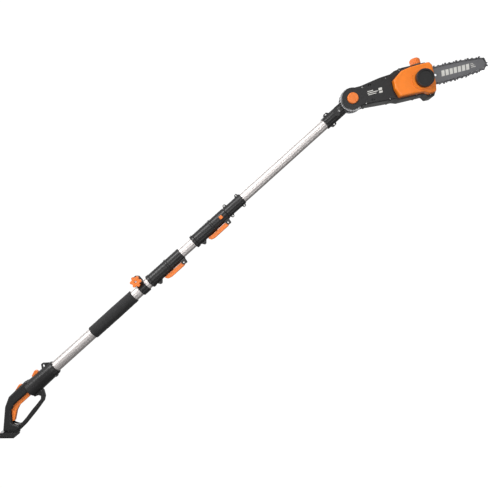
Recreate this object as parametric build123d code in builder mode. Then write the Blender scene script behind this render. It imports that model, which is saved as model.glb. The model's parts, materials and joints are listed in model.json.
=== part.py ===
from build123d import *
import math
import os

os.makedirs("parts", exist_ok=True)

# Frame: the pole's axis is X, the saw head is at +X, the trigger is on the -Z side, and the
# sprocket cover faces -Y. The origin is on the pole's axis at the mouth of the rear handle.

# ---- pole: tube radii and stations along X ----
LOWER_R = 19.0
LOWER_BORE_R = 17.6
POLE_R = 17.0
POLE_BORE_R = 15.8
RUN_GAP = 0.05
LOWER_START, LOWER_END = -48.0, 498.0
FOAM_START, FOAM_END, FOAM_R = 169.0, 355.0, 22.5
BAND_START, BAND_END, BAND_R = 384.0, 412.0, 23.0
KNOB_X, KNOB_Z = 396.0, 29.0
KNOB_BACK, KNOB_THICK = 23.6, 13.0
COLLAR_1_START, COLLAR_1_LENGTH = 425.0, 144.0
COLLAR_2_START, COLLAR_2_LENGTH = 624.0, 148.0
MIDDLE_START, MIDDLE_END = 60.0, 694.0
SPIGOT_START = 700.0
SLEEVE_START, SLEEVE_END, SLEEVE_R = 772.3, 846.0, 19.6
UPPER_END = 1262.0
ARM_START, ARM_R = 1218.0, 20.5

# ---- clamp collars and flip levers ----
COLLAR_R = 22.0
COLLAR_RIM_R = 24.0
COLLAR_TOP_R = 21.4
COLLAR_SLOT = 3.0
LEVER_PIN_Z = -28.5
LEVER_PIN_R = 2.5
LEVER_HALF = 9.0
EAR_GAP, EAR_WALL = 9.4, 3.0
LEVER_1_START, LEVER_1_PIN_X = 478.0, 556.0
LEVER_2_START, LEVER_2_PIN_X = 674.0, 756.0
RELEASE_X, RELEASE_HALF = 749.0, 6.0

# ---- rear handle ----
BARREL_R = 27.0
GRIP_HALF, GUARD_HALF = 17.0, 11.0
TRIGGER_HALF, TRIGGER_SLOT_HALF = 8.0, 8.5
TRIGGER_PIN = (-229.0, -30.0)
BUTTON_HALF = 6.0
EYELET = (-28.5, 29.0)
EYELET_R = 4.5
FOOT_CENTRE, FOOT_ANGLE = (-272.0, -70.0), 41.6
FOOT_HALF_WIDTH = 30.0

# ---- saw head, in its own u (along the bar) and v (up) axes from the pivot ----
PIVOT_X = 1338.0
HEAD_DROOP = 27.5
CHEEK_R, CHEEK_IN = 36.0, 16.4
DETENT_R, TONGUE_HALF = 39.5, 12.0
SLOT_R = 43.0
PIVOT_BOLT_R = 6.0
PIVOT_BUTTON_R = 18.4
PIVOT_POCKET_R = 19.0
NECK_FRONT, HOUSING_BACK, MOUNT_FACE = 32.0, 34.0, 25.0
WALL = 3.0
DRIVE_U, DRIVE_V = 182.0, 4.0
GEAR_MODULE, PINION_TEETH, GEAR_TEETH = 1.6, 10, 50
SHAFT_R = 5.0
MOTOR_R = 21.0
STUD_U, STUD_V, STUD_R = 238.0, 0.0, 4.0
TENSION_KNOB_R = 30.0
BAR_PLANE = 32.0
BAR_THICK = 3.6
OIL_U = 240.5

# ---- saw chain: 3/8 inch low-profile pitch ----
RIVET_PITCH = 9.525
DRIVE_LINKS = 33
SPROCKET_PITCH_R, NOSE_PITCH_R, BOW_R = 18.2, 19.0, 1000.0
RAIL_DROP = 3.3

HEAD = Plane(
    origin=(PIVOT_X, 0, 0),
    x_dir=(math.cos(math.radians(HEAD_DROOP)), 0, -math.sin(math.radians(HEAD_DROOP))),
    z_dir=(0, -1, 0),
)
FOOT = Plane(
    origin=(FOOT_CENTRE[0], 0, FOOT_CENTRE[1]),
    x_dir=(math.cos(math.radians(FOOT_ANGLE)), 0, -math.sin(math.radians(FOOT_ANGLE))),
    z_dir=(0, -1, 0),
)


def finish(piece, name):
    """Label one finished piece and write it to its own STEP file."""
    piece.part.label = name
    export_step(piece.part, f"parts/{name}.step")


def outline(points, radius):
    """Face of a closed polygon whose corners are all rounded by one radius."""
    with BuildSketch() as sketch:
        with BuildLine():
            Polyline(*points, close=True)
        make_face()
        fillet(sketch.vertices(), radius)
    return sketch.sketch


def disc(plane, low, high, radius, at=(0, 0), mode=Mode.ADD):
    """Add or cut a cylinder between two heights above a plane, inside the open part."""
    with BuildSketch(plane.offset(low)) as circle:
        with Locations(at):
            Circle(radius)
    extrude(circle.sketch, amount=high - low, mode=mode)


def slab(plane, low, high, face, mode=Mode.ADD):
    """Add or cut a face drawn in a plane's own axes, between two heights above it."""
    with BuildSketch(plane.offset(low)) as profile:
        add(face)
    extrude(profile.sketch, amount=high - low, mode=mode)


def across(half, face, mode=Mode.ADD):
    """Add or cut a side-view face, symmetric about the pole's middle plane."""
    slab(Plane.XZ, -half, half, face, mode)


def tube(name, start, end, outer, inner):
    """Straight tube along the pole."""
    with BuildPart() as piece:
        with BuildSketch(Plane.YZ.offset(start)):
            Circle(outer)
            Circle(inner, mode=Mode.SUBTRACT)
        extrude(amount=end - start)
    finish(piece, name)


def half_of(solid, keep, name):
    """One shell of a solid that is split along the pole's middle plane."""
    with BuildPart() as piece:
        add(solid)
        split(bisect_by=Plane.XZ, keep=keep)
    finish(piece, name)


def screws(name, plane, places, head_top, head_r, shank_r, length):
    """Group of pan-head screws, heads towards the plane's normal, recessed to head_top."""
    with BuildPart() as group:
        for place in places:
            disc(plane, head_top - 3.0, head_top, head_r, place)
            disc(plane, head_top - length, head_top - 3.0, shank_r, place)
            with BuildSketch(plane.offset(head_top)):
                with Locations(place):
                    RegularPolygon(1.7, 6)
            extrude(amount=-1.6, mode=Mode.SUBTRACT)
    finish(group, name)


def screw_seats(plane, places, head_top, head_r, shank_r, length, mouth):
    """Cut the counterbores and pilot holes for a group of screws."""
    for place in places:
        disc(plane, head_top - 3.0, mouth, head_r + 0.3, place, Mode.SUBTRACT)
        disc(plane, head_top - length - 0.5, head_top - 3.0, shank_r + 0.05, place, Mode.SUBTRACT)


# ================= rear handle =================

GRIP_OUTLINE = [
    (-80, -3), (-80, 20), (-106, 31.5), (-182, 29), (-214, 12), (-273, -44),
    (-243, -77), (-214, -73), (-232, -44), (-205, -11), (-184, -3),
]
GUARD_OUTLINE = [
    (-250, -72), (-243, -79), (-204, -77.5), (-150, -69), (-106, -59.5), (-93, -50), (-84, -32),
    (-84, -8), (-119, -8), (-119, -29), (-106, -33), (-101, -41), (-108, -47.5), (-130, -51.5),
    (-155, -55), (-185, -61), (-212, -64.5), (-222, -60),
]
GRIP_CAVITY = [
    (-100, 22), (-150, 26), (-180, 25), (-211, 8), (-243, -22), (-262, -42), (-247, -57),
    (-238, -46), (-236, -36), (-208, -6), (-184, 1), (-100, 1),
]
TRIGGER_SLOT = [
    (-119.6, -30), (-119.6, 4), (-184, 4), (-209, -6), (-238, -32), (-237, -42), (-225, -60),
]
TRIGGER_OUTLINE = [
    (-127.5, 2), (-127.5, -15.5), (-177, -15.5), (-195, -22.5), (-223, -43.5), (-231, -37),
    (-234, -29), (-228, -25), (-207, -7.5), (-183, 2),
]
HANDLE_SCREWS = [(-18.5, -24.0), (-94, -37), (-152, -62.5), (-232, -66)]
REAR_BUTTON_X = (-157.0, -126.0)
FRONT_BUTTON_X = (-81.0, -55.0)

with BuildPart() as grip_block:
    across(GRIP_HALF, outline(GRIP_OUTLINE, 7.5))
    fillet(grip_block.faces().sort_by(Axis.Y)[0].outer_wire().edges(), 7.0)
    fillet(grip_block.faces().sort_by(Axis.Y)[-1].outer_wire().edges(), 7.0)

with BuildPart() as guard_block:
    across(GUARD_HALF, outline(GUARD_OUTLINE, 4.0))
    fillet(guard_block.faces().sort_by(Axis.Y)[0].outer_wire().edges(), 3.8)
    fillet(guard_block.faces().sort_by(Axis.Y)[-1].outer_wire().edges(), 3.8)

with BuildPart() as handle_solid:
    with BuildSketch(Plane.XZ):
        with BuildLine():
            Polyline(
                (0, 0), (0, 21.5), (-3, 24), (-14, 25.6), (-116, BARREL_R + 0.6),
                (-119, BARREL_R - 2), (-119, 0), close=True,
            )
        make_face()
    revolve(axis=Axis.X)
    add(grip_block.part)
    add(guard_block.part)
    slab(FOOT, -FOOT_HALF_WIDTH, FOOT_HALF_WIDTH, outline([(-24, 9), (24, 9), (24, 19), (-24, 19)], 1.5))
    across(5.0, outline([(-43, 20), (-31, 38.5), (-24, 38.5), (-2, 21), (-2, 10), (-43, 10)], 1.0))
    across(5.0, outline([(-27, -20), (-22, -28), (-15, -28), (-10, -20)], 1.0))
    disc(Plane.XZ, -8, 8, EYELET_R, EYELET, Mode.SUBTRACT)
    # socket for the lower tube, wiring space behind it, grip space and trigger slot
    with BuildSketch(Plane.YZ.offset(LOWER_START)):
        Circle(LOWER_R)
    extrude(amount=-LOWER_START + 1, mode=Mode.SUBTRACT)
    with BuildSketch(Plane.YZ.offset(-114)):
        Circle(21.0)
    extrude(amount=114 + LOWER_START, mode=Mode.SUBTRACT)
    across(13.5, outline(GRIP_CAVITY, 1.0), Mode.SUBTRACT)
    across(TRIGGER_SLOT_HALF, outline(TRIGGER_SLOT, 0.5), Mode.SUBTRACT)
    disc(Plane.XZ, -13.4, 13.4, 4.0, TRIGGER_PIN, Mode.SUBTRACT)
    disc(Plane.XZ, -15.5, 15.5, 2.0, TRIGGER_PIN, Mode.SUBTRACT)
    for low_x, high_x in (REAR_BUTTON_X, FRONT_BUTTON_X):
        across(
            BUTTON_HALF + 0.2,
            outline([(low_x, 19.3), (high_x, 19.3), (high_x, 40), (low_x, 40)], 0.1),
            Mode.SUBTRACT,
        )
    screw_seats(Plane(origin=(0, 0, 0), x_dir=(-1, 0, 0), z_dir=(0, 1, 0)),
                [(-x, z) for x, z in HANDLE_SCREWS], 8.0, 3.4, 1.6, 18.0, 30.0)

half_of(handle_solid.part, Keep.TOP, "handle_shell_left")
half_of(handle_solid.part, Keep.BOTTOM, "handle_shell_right")
screws("handle_screws", Plane(origin=(0, 0, 0), x_dir=(-1, 0, 0), z_dir=(0, 1, 0)),
       [(-x, z) for x, z in HANDLE_SCREWS], 8.0, 3.4, 1.6, 18.0)

with BuildPart() as trigger:
    across(TRIGGER_HALF, outline(TRIGGER_OUTLINE, 2.0))
    fillet(trigger.faces().sort_by(Axis.Y)[0].outer_wire().edges(), 1.8)
    fillet(trigger.faces().sort_by(Axis.Y)[-1].outer_wire().edges(), 1.8)
    disc(Plane.XZ, -TRIGGER_HALF, TRIGGER_HALF, 2.0 + RUN_GAP, TRIGGER_PIN, Mode.SUBTRACT)
finish(trigger, "trigger")

with BuildPart() as trigger_pin:
    disc(Plane.XZ, -15.5, 15.5, 2.0, TRIGGER_PIN)
finish(trigger_pin, "trigger_pin")

with BuildPart() as trigger_spring:
    for turn in range(4):
        with BuildSketch(Plane.XZ.offset(9.1 + turn * 0.95)):
            with Locations(TRIGGER_PIN):
                Circle(3.4)
                Circle(2.4, mode=Mode.SUBTRACT)
        extrude(amount=0.8)
finish(trigger_spring, "trigger_spring")

with BuildPart() as switch_block:
    across(8.0, outline([(-172, 13), (-140, 13), (-140, 22.2), (-172, 22.2)], 1.0))
    across(3.0, outline([(-160, 11.4), (-152, 11.4), (-152, 14), (-160, 14)], 0.4))
finish(switch_block, "switch_block")


def thumb_button(name, span):
    """Wedge-shaped thumb button that stands proud of the handle's top."""
    low_x, high_x = span
    with BuildPart() as piece:
        across(
            BUTTON_HALF,
            outline(
                [
                    (low_x + 0.2, 24.6), (low_x + 0.2, 30), (high_x - 8, 36.8),
                    (high_x - 3, 36.8), (high_x - 0.2, 30), (high_x - 0.2, 24.6),
                ],
                0.9,
            ),
        )
        for ridge in range(4):
            ridge_x = high_x - 11 - ridge * 3.6
            ridge_z = 36.2 - ridge * 1.25
            across(
                BUTTON_HALF - 1,
                outline([(ridge_x - 0.7, 30), (ridge_x + 0.7, 30), (ridge_x + 0.4, ridge_z),
                         (ridge_x - 0.4, ridge_z)], 0.15),
            )
    finish(piece, name)


thumb_button("rear_lock_button", REAR_BUTTON_X)
thumb_button("front_lock_button", FRONT_BUTTON_X)

with BuildPart() as battery_shoe:
    slab(FOOT, -FOOT_HALF_WIDTH, FOOT_HALF_WIDTH, outline([(-24, 5), (24, 5), (24, 9), (-24, 9)], 0.6))
    slab(FOOT, -22, 22, outline([(-24, 2.4), (24, 2.4), (24, 5.5), (-24, 5.5)], 0.3))
    slab(FOOT, -27, 27, outline([(-24, 0), (24, 0), (24, 2.5), (-24, 2.5)], 0.6))
    slab(FOOT, -9, 9, outline([(-28.5, 3.0), (-23, 3.0), (-23, 8.0), (-28.5, 7.0)], 0.6))
    slab(FOOT, -15, 15, outline([(-18, -1), (16, -1), (16, 4), (-18, 4)], 0.8), Mode.SUBTRACT)
finish(battery_shoe, "battery_shoe")

with BuildPart() as battery_contacts:
    for blade_y in (-10.0, -3.4, 3.4, 10.0):
        slab(FOOT, blade_y - 0.5, blade_y + 0.5,
             outline([(-12, 0.6), (10, 0.6), (10, 4.0), (-12, 4.0)], 0.3))
finish(battery_contacts, "battery_contacts")

# ================= pole tubes, foam and strap clamp =================

tube("lower_tube", LOWER_START, LOWER_END, LOWER_R, LOWER_BORE_R)
tube("middle_tube", MIDDLE_START, MIDDLE_END, POLE_R, POLE_BORE_R)
tube("upper_tube", SPIGOT_START, UPPER_END, POLE_R, POLE_BORE_R)
tube("foam_grip", FOAM_START, FOAM_END, FOAM_R, LOWER_R)

with BuildPart() as tube_bush:
    with BuildSketch(Plane.YZ.offset(MIDDLE_START + 2)):
        Circle(LOWER_BORE_R - RUN_GAP)
        Circle(POLE_R, mode=Mode.SUBTRACT)
    extrude(amount=30)
finish(tube_bush, "tube_bush")

with BuildPart() as strap_clamp_band:
    with BuildSketch(Plane.YZ.offset(BAND_START)):
        Circle(BAND_R)
    extrude(amount=BAND_END - BAND_START)
    fillet(strap_clamp_band.edges().filter_by(GeomType.CIRCLE), 1.5)
    across(8.0, outline([(386, 10), (412, 10), (412, 40), (404, 47.5), (394, 47.5), (386, 40)], 3.0))
    with BuildSketch(Plane.YZ.offset(BAND_START - 1)):
        Circle(LOWER_R)
    extrude(amount=BAND_END - BAND_START + 2, mode=Mode.SUBTRACT)
    across(1.5, outline([(380, 10), (416, 10), (416, 50), (380, 50)], 1.0), Mode.SUBTRACT)
    disc(Plane.XZ, -9, 9, 3.0, (KNOB_X, KNOB_Z), Mode.SUBTRACT)
finish(strap_clamp_band, "strap_clamp_band")

with BuildPart() as strap_clamp_bolt:
    disc(Plane.XZ, -8, 33, 3.0, (KNOB_X, KNOB_Z))
    with BuildSketch(Plane.XZ.offset(-8)) as bolt_head:
        with Locations((KNOB_X, KNOB_Z)):
            RegularPolygon(5.5, 6)
    extrude(bolt_head.sketch, amount=-4)
finish(strap_clamp_bolt, "strap_clamp_bolt")

with BuildPart() as star_knob:
    with BuildSketch(Plane.XZ.offset(KNOB_BACK)):
        with Locations((KNOB_X, KNOB_Z)):
            Circle(14.5)
            with PolarLocations(14.0, 6, start_angle=90):
                Circle(5.5)
    extrude(amount=KNOB_THICK)
    fillet(star_knob.faces().sort_by(Axis.Y)[0].outer_wire().edges(), 2.0)
    disc(Plane.XZ, 8.3, KNOB_BACK, 5.6, (KNOB_X, KNOB_Z))
    disc(Plane.XZ, 8, 34, 3.0 + RUN_GAP, (KNOB_X, KNOB_Z), Mode.SUBTRACT)
    disc(Plane.XZ, 33, KNOB_BACK + KNOB_THICK + 1, 4.4, (KNOB_X, KNOB_Z), Mode.SUBTRACT)
finish(star_knob, "star_knob")

# ================= clamp collars and flip levers =================


def collar(name, start, length, seat_r, seat_depth, pin_x, window_x):
    """Moulded clamp collar: rim, lug, middle ring, slotted jaw and the lever's two ears."""
    end = start + length
    ring_x = start + 84.0
    with BuildPart() as piece:
        with BuildSketch(Plane.XZ):
            with BuildLine():
                Polyline(
                    (start, 0), (start, COLLAR_RIM_R - 2), (start + 2, COLLAR_RIM_R),
                    (start + 10, COLLAR_RIM_R), (start + 13, COLLAR_R), (ring_x - 4, COLLAR_R),
                    (ring_x - 2, COLLAR_RIM_R - 0.4), (ring_x + 3, COLLAR_RIM_R - 0.4),
                    (ring_x + 5, COLLAR_TOP_R), (end - 1.5, COLLAR_TOP_R),
                    (end, COLLAR_TOP_R - 1.5), (end, 0), close=True,
                )
            make_face()
        revolve(axis=Axis.X)
        lug = outline([(start + 13, -16), (start + 24, -31.5), (start + 30, -31.5),
                       (start + 44, -16)], 2.5)
        across(6.0, lug)
        ears = outline([(pin_x - 9, -15), (pin_x - 6, -33), (pin_x + 6, -36),
                        (pin_x + 9, -33), (pin_x + 11, -15)], 2.0)
        slab(Plane.XZ, EAR_GAP, EAR_GAP + EAR_WALL, ears)
        slab(Plane.XZ, -EAR_GAP - EAR_WALL, -EAR_GAP, ears)
        disc(Plane.XZ, -15, 15, LEVER_PIN_R, (pin_x, LEVER_PIN_Z), Mode.SUBTRACT)
        with BuildSketch(Plane.YZ.offset(start - 1)) as seat:
            Circle(seat_r)
        extrude(seat.sketch, amount=seat_depth + 1, mode=Mode.SUBTRACT)
        with BuildSketch(Plane.YZ.offset(start + seat_depth)) as bore:
            Circle(POLE_R + RUN_GAP)
        extrude(bore.sketch, amount=length - seat_depth + 1, mode=Mode.SUBTRACT)
        across(
            COLLAR_SLOT / 2,
            outline([(ring_x + 8, -10), (end + 2, -10), (end + 2, -30), (ring_x + 8, -30)], 0.5),
            Mode.SUBTRACT,
        )
        if window_x:
            with BuildSketch(Plane.XZ.offset(10)) as window:
                with Locations((window_x, 0)):
                    Rectangle(2 * RELEASE_HALF + 0.2, 2 * RELEASE_HALF + 0.2)
            extrude(window.sketch, amount=14, mode=Mode.SUBTRACT)
    finish(piece, name)


collar("coupling_collar_1", COLLAR_1_START, COLLAR_1_LENGTH, LOWER_R,
       LOWER_END - COLLAR_1_START + 1, LEVER_1_PIN_X, None)
collar("coupling_collar_2", COLLAR_2_START, COLLAR_2_LENGTH, POLE_R,
       MIDDLE_END - COLLAR_2_START + 1, LEVER_2_PIN_X, RELEASE_X)


def flip_lever(name, start, pin_x):
    """Over-centre lever that hugs the underside of its collar."""
    with BuildPart() as piece:
        across(
            LEVER_HALF,
            outline(
                [
                    (start, -18), (start - 4, -25), (start + 2, -34), (start + 14, -37.5),
                    (pin_x - 8, -37.5), (pin_x + 3, -34), (pin_x + 5, -28), (pin_x + 3, -24),
                    (pin_x - 10, -18),
                ],
                2.2,
            ),
        )
        fillet(piece.faces().sort_by(Axis.Y)[0].outer_wire().edges(), 2.0)
        fillet(piece.faces().sort_by(Axis.Y)[-1].outer_wire().edges(), 2.0)
        with BuildSketch(Plane.YZ.offset(start - 10)) as hug:
            Circle(COLLAR_RIM_R + 0.3)
        extrude(hug.sketch, amount=pin_x - start + 30, mode=Mode.SUBTRACT)
        disc(Plane.XZ, -10, 10, LEVER_PIN_R + RUN_GAP, (pin_x, LEVER_PIN_Z), Mode.SUBTRACT)
        across(
            5.5,
            outline([(pin_x - 17, -30), (pin_x - 9, -30), (pin_x - 7, -40), (pin_x - 15, -40)], 0.8),
            Mode.SUBTRACT,
        )
    finish(piece, name)


def lever_pin(name, pin_x):
    """Steel hinge pin of a flip lever."""
    with BuildPart() as piece:
        disc(Plane.XZ, -EAR_GAP - EAR_WALL, EAR_GAP + EAR_WALL, LEVER_PIN_R, (pin_x, LEVER_PIN_Z))
    finish(piece, name)


flip_lever("flip_lever_1", LEVER_1_START, LEVER_1_PIN_X)
flip_lever("flip_lever_2", LEVER_2_START, LEVER_2_PIN_X)
lever_pin("lever_pin_1", LEVER_1_PIN_X)
lever_pin("lever_pin_2", LEVER_2_PIN_X)

with BuildPart() as release_button:
    with BuildSketch(Plane.XZ.offset(20.4)):
        with Locations((RELEASE_X, 0)):
            RectangleRounded(2 * RELEASE_HALF, 2 * RELEASE_HALF, 1.5)
    extrude(amount=5.0)
    fillet(release_button.faces().sort_by(Axis.Y)[0].outer_wire().edges(), 1.2)
finish(release_button, "release_button")

# ================= sleeve and pivot arm =================

SLEEVE_SCREWS = [(782.5, 22.0), (835.0, 22.0), (782.5, -22.0), (835.0, -22.0)]
ARM_SCREWS = [(1241.0, 22.0), (1241.0, -22.0)]
ARM_FACE_SCREW = (1281.0, 0.0)


def lug(place, width):
    """Trapezoid screw lug standing on a round casing."""
    x, z = place
    up = math.copysign(1.0, z)
    return outline([(x - width, 0), (x - width, z - 3 * up), (x - width / 2, z + 4.5 * up),
                    (x + width / 2, z + 4.5 * up), (x + width, z - 3 * up), (x + width, 0)], 1.5)


with BuildPart() as sleeve_solid:
    with BuildSketch(Plane.YZ.offset(SLEEVE_START)):
        Circle(SLEEVE_R)
    extrude(amount=SLEEVE_END - SLEEVE_START)
    chamfer(sleeve_solid.edges().filter_by(GeomType.CIRCLE), 1.2)
    for place in SLEEVE_SCREWS:
        across(6.0, lug(place, 7.5))
    with BuildSketch(Plane.YZ.offset(SLEEVE_START - 1)):
        Circle(POLE_R)
    extrude(amount=SLEEVE_END - SLEEVE_START + 2, mode=Mode.SUBTRACT)
    screw_seats(Plane.XZ, SLEEVE_SCREWS, 5.0, 2.7, 1.4, 9.0, 20.0)
half_of(sleeve_solid.part, Keep.TOP, "sleeve_left")
half_of(sleeve_solid.part, Keep.BOTTOM, "sleeve_right")

with BuildPart() as arm_solid:
    with BuildSketch(Plane.YZ.offset(ARM_START)):
        Circle(ARM_R)
    extrude(amount=PIVOT_X - SLOT_R - 1.5 - ARM_START)
    chamfer(arm_solid.edges().filter_by(GeomType.CIRCLE), 1.5)
    for place in ARM_SCREWS:
        across(8.0, lug(place, 11.0))
    across(TONGUE_HALF, outline([(1275, -19.5), (PIVOT_X, -19.5), (PIVOT_X, 19.5), (1275, 19.5)], 2.0))
    disc(Plane.XZ, -TONGUE_HALF, TONGUE_HALF, CHEEK_R - 2, (PIVOT_X, 0))
    disc(Plane.XZ, -22.0, 22.0, 10.5, (ARM_FACE_SCREW[0] - 12, 0))
    with BuildSketch(Plane.YZ.offset(ARM_START - 1)):
        Circle(POLE_R)
    extrude(amount=UPPER_END - ARM_START + 1, mode=Mode.SUBTRACT)
    disc(Plane.XZ, -15, 15, PIVOT_BOLT_R, (PIVOT_X, 0), Mode.SUBTRACT)
    screw_seats(Plane.XZ, ARM_SCREWS, 7.0, 3.2, 1.6, 12.0, 25.0)
    screw_seats(Plane.XZ, [ARM_FACE_SCREW], 14.0, 3.6, 1.6, 22.0, 25.0)
half_of(arm_solid.part, Keep.TOP, "pivot_arm_left")
half_of(arm_solid.part, Keep.BOTTOM, "pivot_arm_right")

with BuildPart() as upper_pole_screws:
    for place in SLEEVE_SCREWS:
        disc(Plane.XZ, 2.0, 5.0, 2.7, place)
        disc(Plane.XZ, -4.0, 2.0, 1.4, place)
    for place in ARM_SCREWS:
        disc(Plane.XZ, 4.0, 7.0, 3.2, place)
        disc(Plane.XZ, -5.0, 4.0, 1.6, place)
    disc(Plane.XZ, 11.0, 14.0, 3.6, ARM_FACE_SCREW)
    disc(Plane.XZ, -8.0, 11.0, 1.6, ARM_FACE_SCREW)
finish(upper_pole_screws, "upper_pole_screws")

with BuildPart() as detent_discs:
    for face in (-CHEEK_IN + 0.2, TONGUE_HALF):
        with BuildSketch(HEAD.offset(face)) as plate:
            Circle(DETENT_R)
            with PolarLocations(DETENT_R, 7, start_angle=95, angular_range=105):
                Circle(1.8, mode=Mode.SUBTRACT)
            Circle(PIVOT_BOLT_R, mode=Mode.SUBTRACT)
        extrude(plate.sketch, amount=CHEEK_IN - 0.2 - TONGUE_HALF)
finish(detent_discs, "detent_discs")

with BuildPart() as pivot_bolt:
    disc(Plane.XZ, -27.0, 20.5, PIVOT_BOLT_R, (PIVOT_X, 0))
    with BuildSketch(Plane.XZ.offset(-27.0)) as bolt_hex:
        with Locations((PIVOT_X, 0)):
            RegularPolygon(10.0, 6)
    extrude(bolt_hex.sketch, amount=-6.0)
finish(pivot_bolt, "pivot_bolt")

with BuildPart() as pivot_button:
    disc(HEAD, 27.0, 39.0, PIVOT_BUTTON_R)
    fillet(pivot_button.edges().filter_by(GeomType.CIRCLE).sort_by(Axis.Y)[0], 3.0)
    disc(HEAD, 27.0, 34.0, 14.0, mode=Mode.SUBTRACT)
finish(pivot_button, "pivot_button")

with BuildPart() as pivot_spring:
    for turn in range(4):
        with BuildSketch(HEAD.offset(21.05 + 0.45 * turn)) as ring:
            Circle(12.4)
            Circle(10.8, mode=Mode.SUBTRACT)
        extrude(ring.sketch, amount=0.4)
finish(pivot_spring, "pivot_spring")

# ================= motor housing =================

HOUSING_OUTLINE = [
    (0, -33), (36, -30), (99, -35), (136, -37), (152, -43), (238, -44.5), (246, -58),
    (266, -59), (274, -46), (276, -28), (276, 34), (271, 52), (262, 57.5), (184, 59),
    (156, 54.5), (138, 46), (102, 44.5), (36, 34), (0, 34),
]
HOUSING_CAVITY = [
    (50, -27), (99, -31.5), (134, -33.5), (151, -39.5), (232, -41), (271, -41), (272.5, -28),
    (272.5, 34), (268, 50), (260, 53.8), (185, 55.2), (158, 51), (139, 42.3), (102, 41), (50, 33),
]
NECK_CAVITY = [(52, -25), (112, -30), (132, -24), (132, 38), (112, 38), (52, 30)]
HOUSING_SCREWS = [(40.5, 28.5), (40.5, -26.0), (123, 38.5), (121, -31.5)]
BULGE_SCREWS = [(176, 54.0), (257, -50.0), (212, -39.5), (267, 46)]
MOTOR_U = DRIVE_U - GEAR_MODULE * (PINION_TEETH + GEAR_TEETH) / 2
TANK_OUTLINE = [(228, 16), (266, 16), (266, 48), (259, 53), (228, 53)]

with BuildPart() as neck_block:
    slab(HEAD, -HOUSING_BACK, NECK_FRONT, outline(
        [(0, -33), (36, -30), (99, -35), (150, -38), (150, 48), (102, 44.5), (36, 34), (0, 34)],
        5.0))
    for side in (0, -1):
        fillet(neck_block.faces().sort_by(Axis.Y)[side].outer_wire().edges(), 4.8)

with BuildPart() as housing_solid:
    slab(HEAD, -HOUSING_BACK, MOUNT_FACE, outline(HOUSING_OUTLINE, 4.0))
    fillet(housing_solid.faces().sort_by(Axis.Y)[-1].outer_wire().edges(), 3.8)
    slab(HEAD, MOUNT_FACE, NECK_FRONT, outline([(30, -70), (137, -70), (137, 70), (30, 70)], 1.0),
         Mode.SUBTRACT)
    add(neck_block.part, mode=Mode.ADD)
    slab(HEAD, MOUNT_FACE, NECK_FRONT + 1, outline([(136.5, -70), (300, -70), (300, 70), (136.5, 70)], 0.5),
         Mode.SUBTRACT)
    disc(HEAD, -HOUSING_BACK, -CHEEK_IN, CHEEK_R)
    disc(HEAD, CHEEK_IN, NECK_FRONT, CHEEK_R)
    disc(HEAD, -HOUSING_BACK - 12, -HOUSING_BACK, MOTOR_R + 5.0, (MOTOR_U, DRIVE_V))
    fillet(housing_solid.edges().filter_by(GeomType.CIRCLE).sort_by(Axis.Y)[-1], 5.0)
    slab(HEAD, -HOUSING_BACK + WALL, MOUNT_FACE - WALL, outline(HOUSING_CAVITY, 2.0), Mode.SUBTRACT)
    slab(HEAD, MOUNT_FACE - WALL - 0.5, NECK_FRONT - WALL, outline(NECK_CAVITY, 2.0), Mode.SUBTRACT)
    disc(HEAD, -CHEEK_IN, CHEEK_IN, SLOT_R, mode=Mode.SUBTRACT)
    disc(HEAD, -HOUSING_BACK - 9, -HOUSING_BACK + 4, MOTOR_R + 2.0, (MOTOR_U, DRIVE_V), Mode.SUBTRACT)
    disc(HEAD, -40, 40, PIVOT_BOLT_R + RUN_GAP, mode=Mode.SUBTRACT)
    disc(HEAD, 21.0, 40, PIVOT_POCKET_R, mode=Mode.SUBTRACT)
    disc(HEAD, -40, -27.0 + 0.1, 11.5, mode=Mode.SUBTRACT)
    disc(HEAD, MOUNT_FACE - WALL - 2.0, MOUNT_FACE - WALL, 15.0, (DRIVE_U, DRIVE_V))
    disc(HEAD, MOUNT_FACE - WALL - 3.0, MOUNT_FACE + 1, 11.0, (DRIVE_U, DRIVE_V), Mode.SUBTRACT)
    disc(HEAD, MOUNT_FACE, BAR_PLANE - BAR_THICK / 2 - 0.1, 9.0, (STUD_U, STUD_V))
    disc(HEAD, 16, 40, STUD_R, (STUD_U, STUD_V), Mode.SUBTRACT)
    for place in HOUSING_SCREWS + BULGE_SCREWS:
        disc(HEAD, -HOUSING_BACK + WALL, MOUNT_FACE - WALL, 6.2, place)
    disc(HEAD, -CHEEK_IN, CHEEK_IN, SLOT_R, mode=Mode.SUBTRACT)
    screw_seats(HEAD, HOUSING_SCREWS, 24.0, 3.2, 1.6, 34.0, 40.0)
    screw_seats(HEAD, BULGE_SCREWS, 20.0, 3.2, 1.6, 30.0, 40.0)
    for vent_v in (29.0, -20.5):
        for vent_u in (62.0, 68.5):
            with BuildSketch(HEAD.offset(NECK_FRONT - WALL - 1)) as vent:
                with Locations((vent_u, vent_v)):
                    SlotOverall(6.0, 2.6, rotation=70)
            extrude(vent.sketch, amount=6, mode=Mode.SUBTRACT)
    with BuildSketch(HEAD.offset(-HOUSING_BACK - 13)) as motor_vents:
        with Locations((MOTOR_U, DRIVE_V)):
            with PolarLocations(13.0, 10):
                SlotOverall(9.0, 2.6)
    extrude(motor_vents.sketch, amount=6, mode=Mode.SUBTRACT)
    OIL_PLANE = Plane(origin=HEAD.from_local_coords((OIL_U, 0, 0)), x_dir=(0, 1, 0), z_dir=HEAD.y_dir)
    disc(OIL_PLANE, 48, 70, 15.3, mode=Mode.SUBTRACT)
half_of(housing_solid.part, Keep.TOP, "motor_housing_left")
half_of(housing_solid.part, Keep.BOTTOM, "motor_housing_right")

with BuildPart() as housing_screws:
    for places, top, length in ((HOUSING_SCREWS, 24.0, 34.0), (BULGE_SCREWS, 20.0, 30.0)):
        for place in places:
            disc(HEAD, top - 3.0, top, 3.2, place)
            disc(HEAD, top - length, top - 3.0, 1.6, place)
finish(housing_screws, "housing_screws")

# ================= motor and gear train =================


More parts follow.
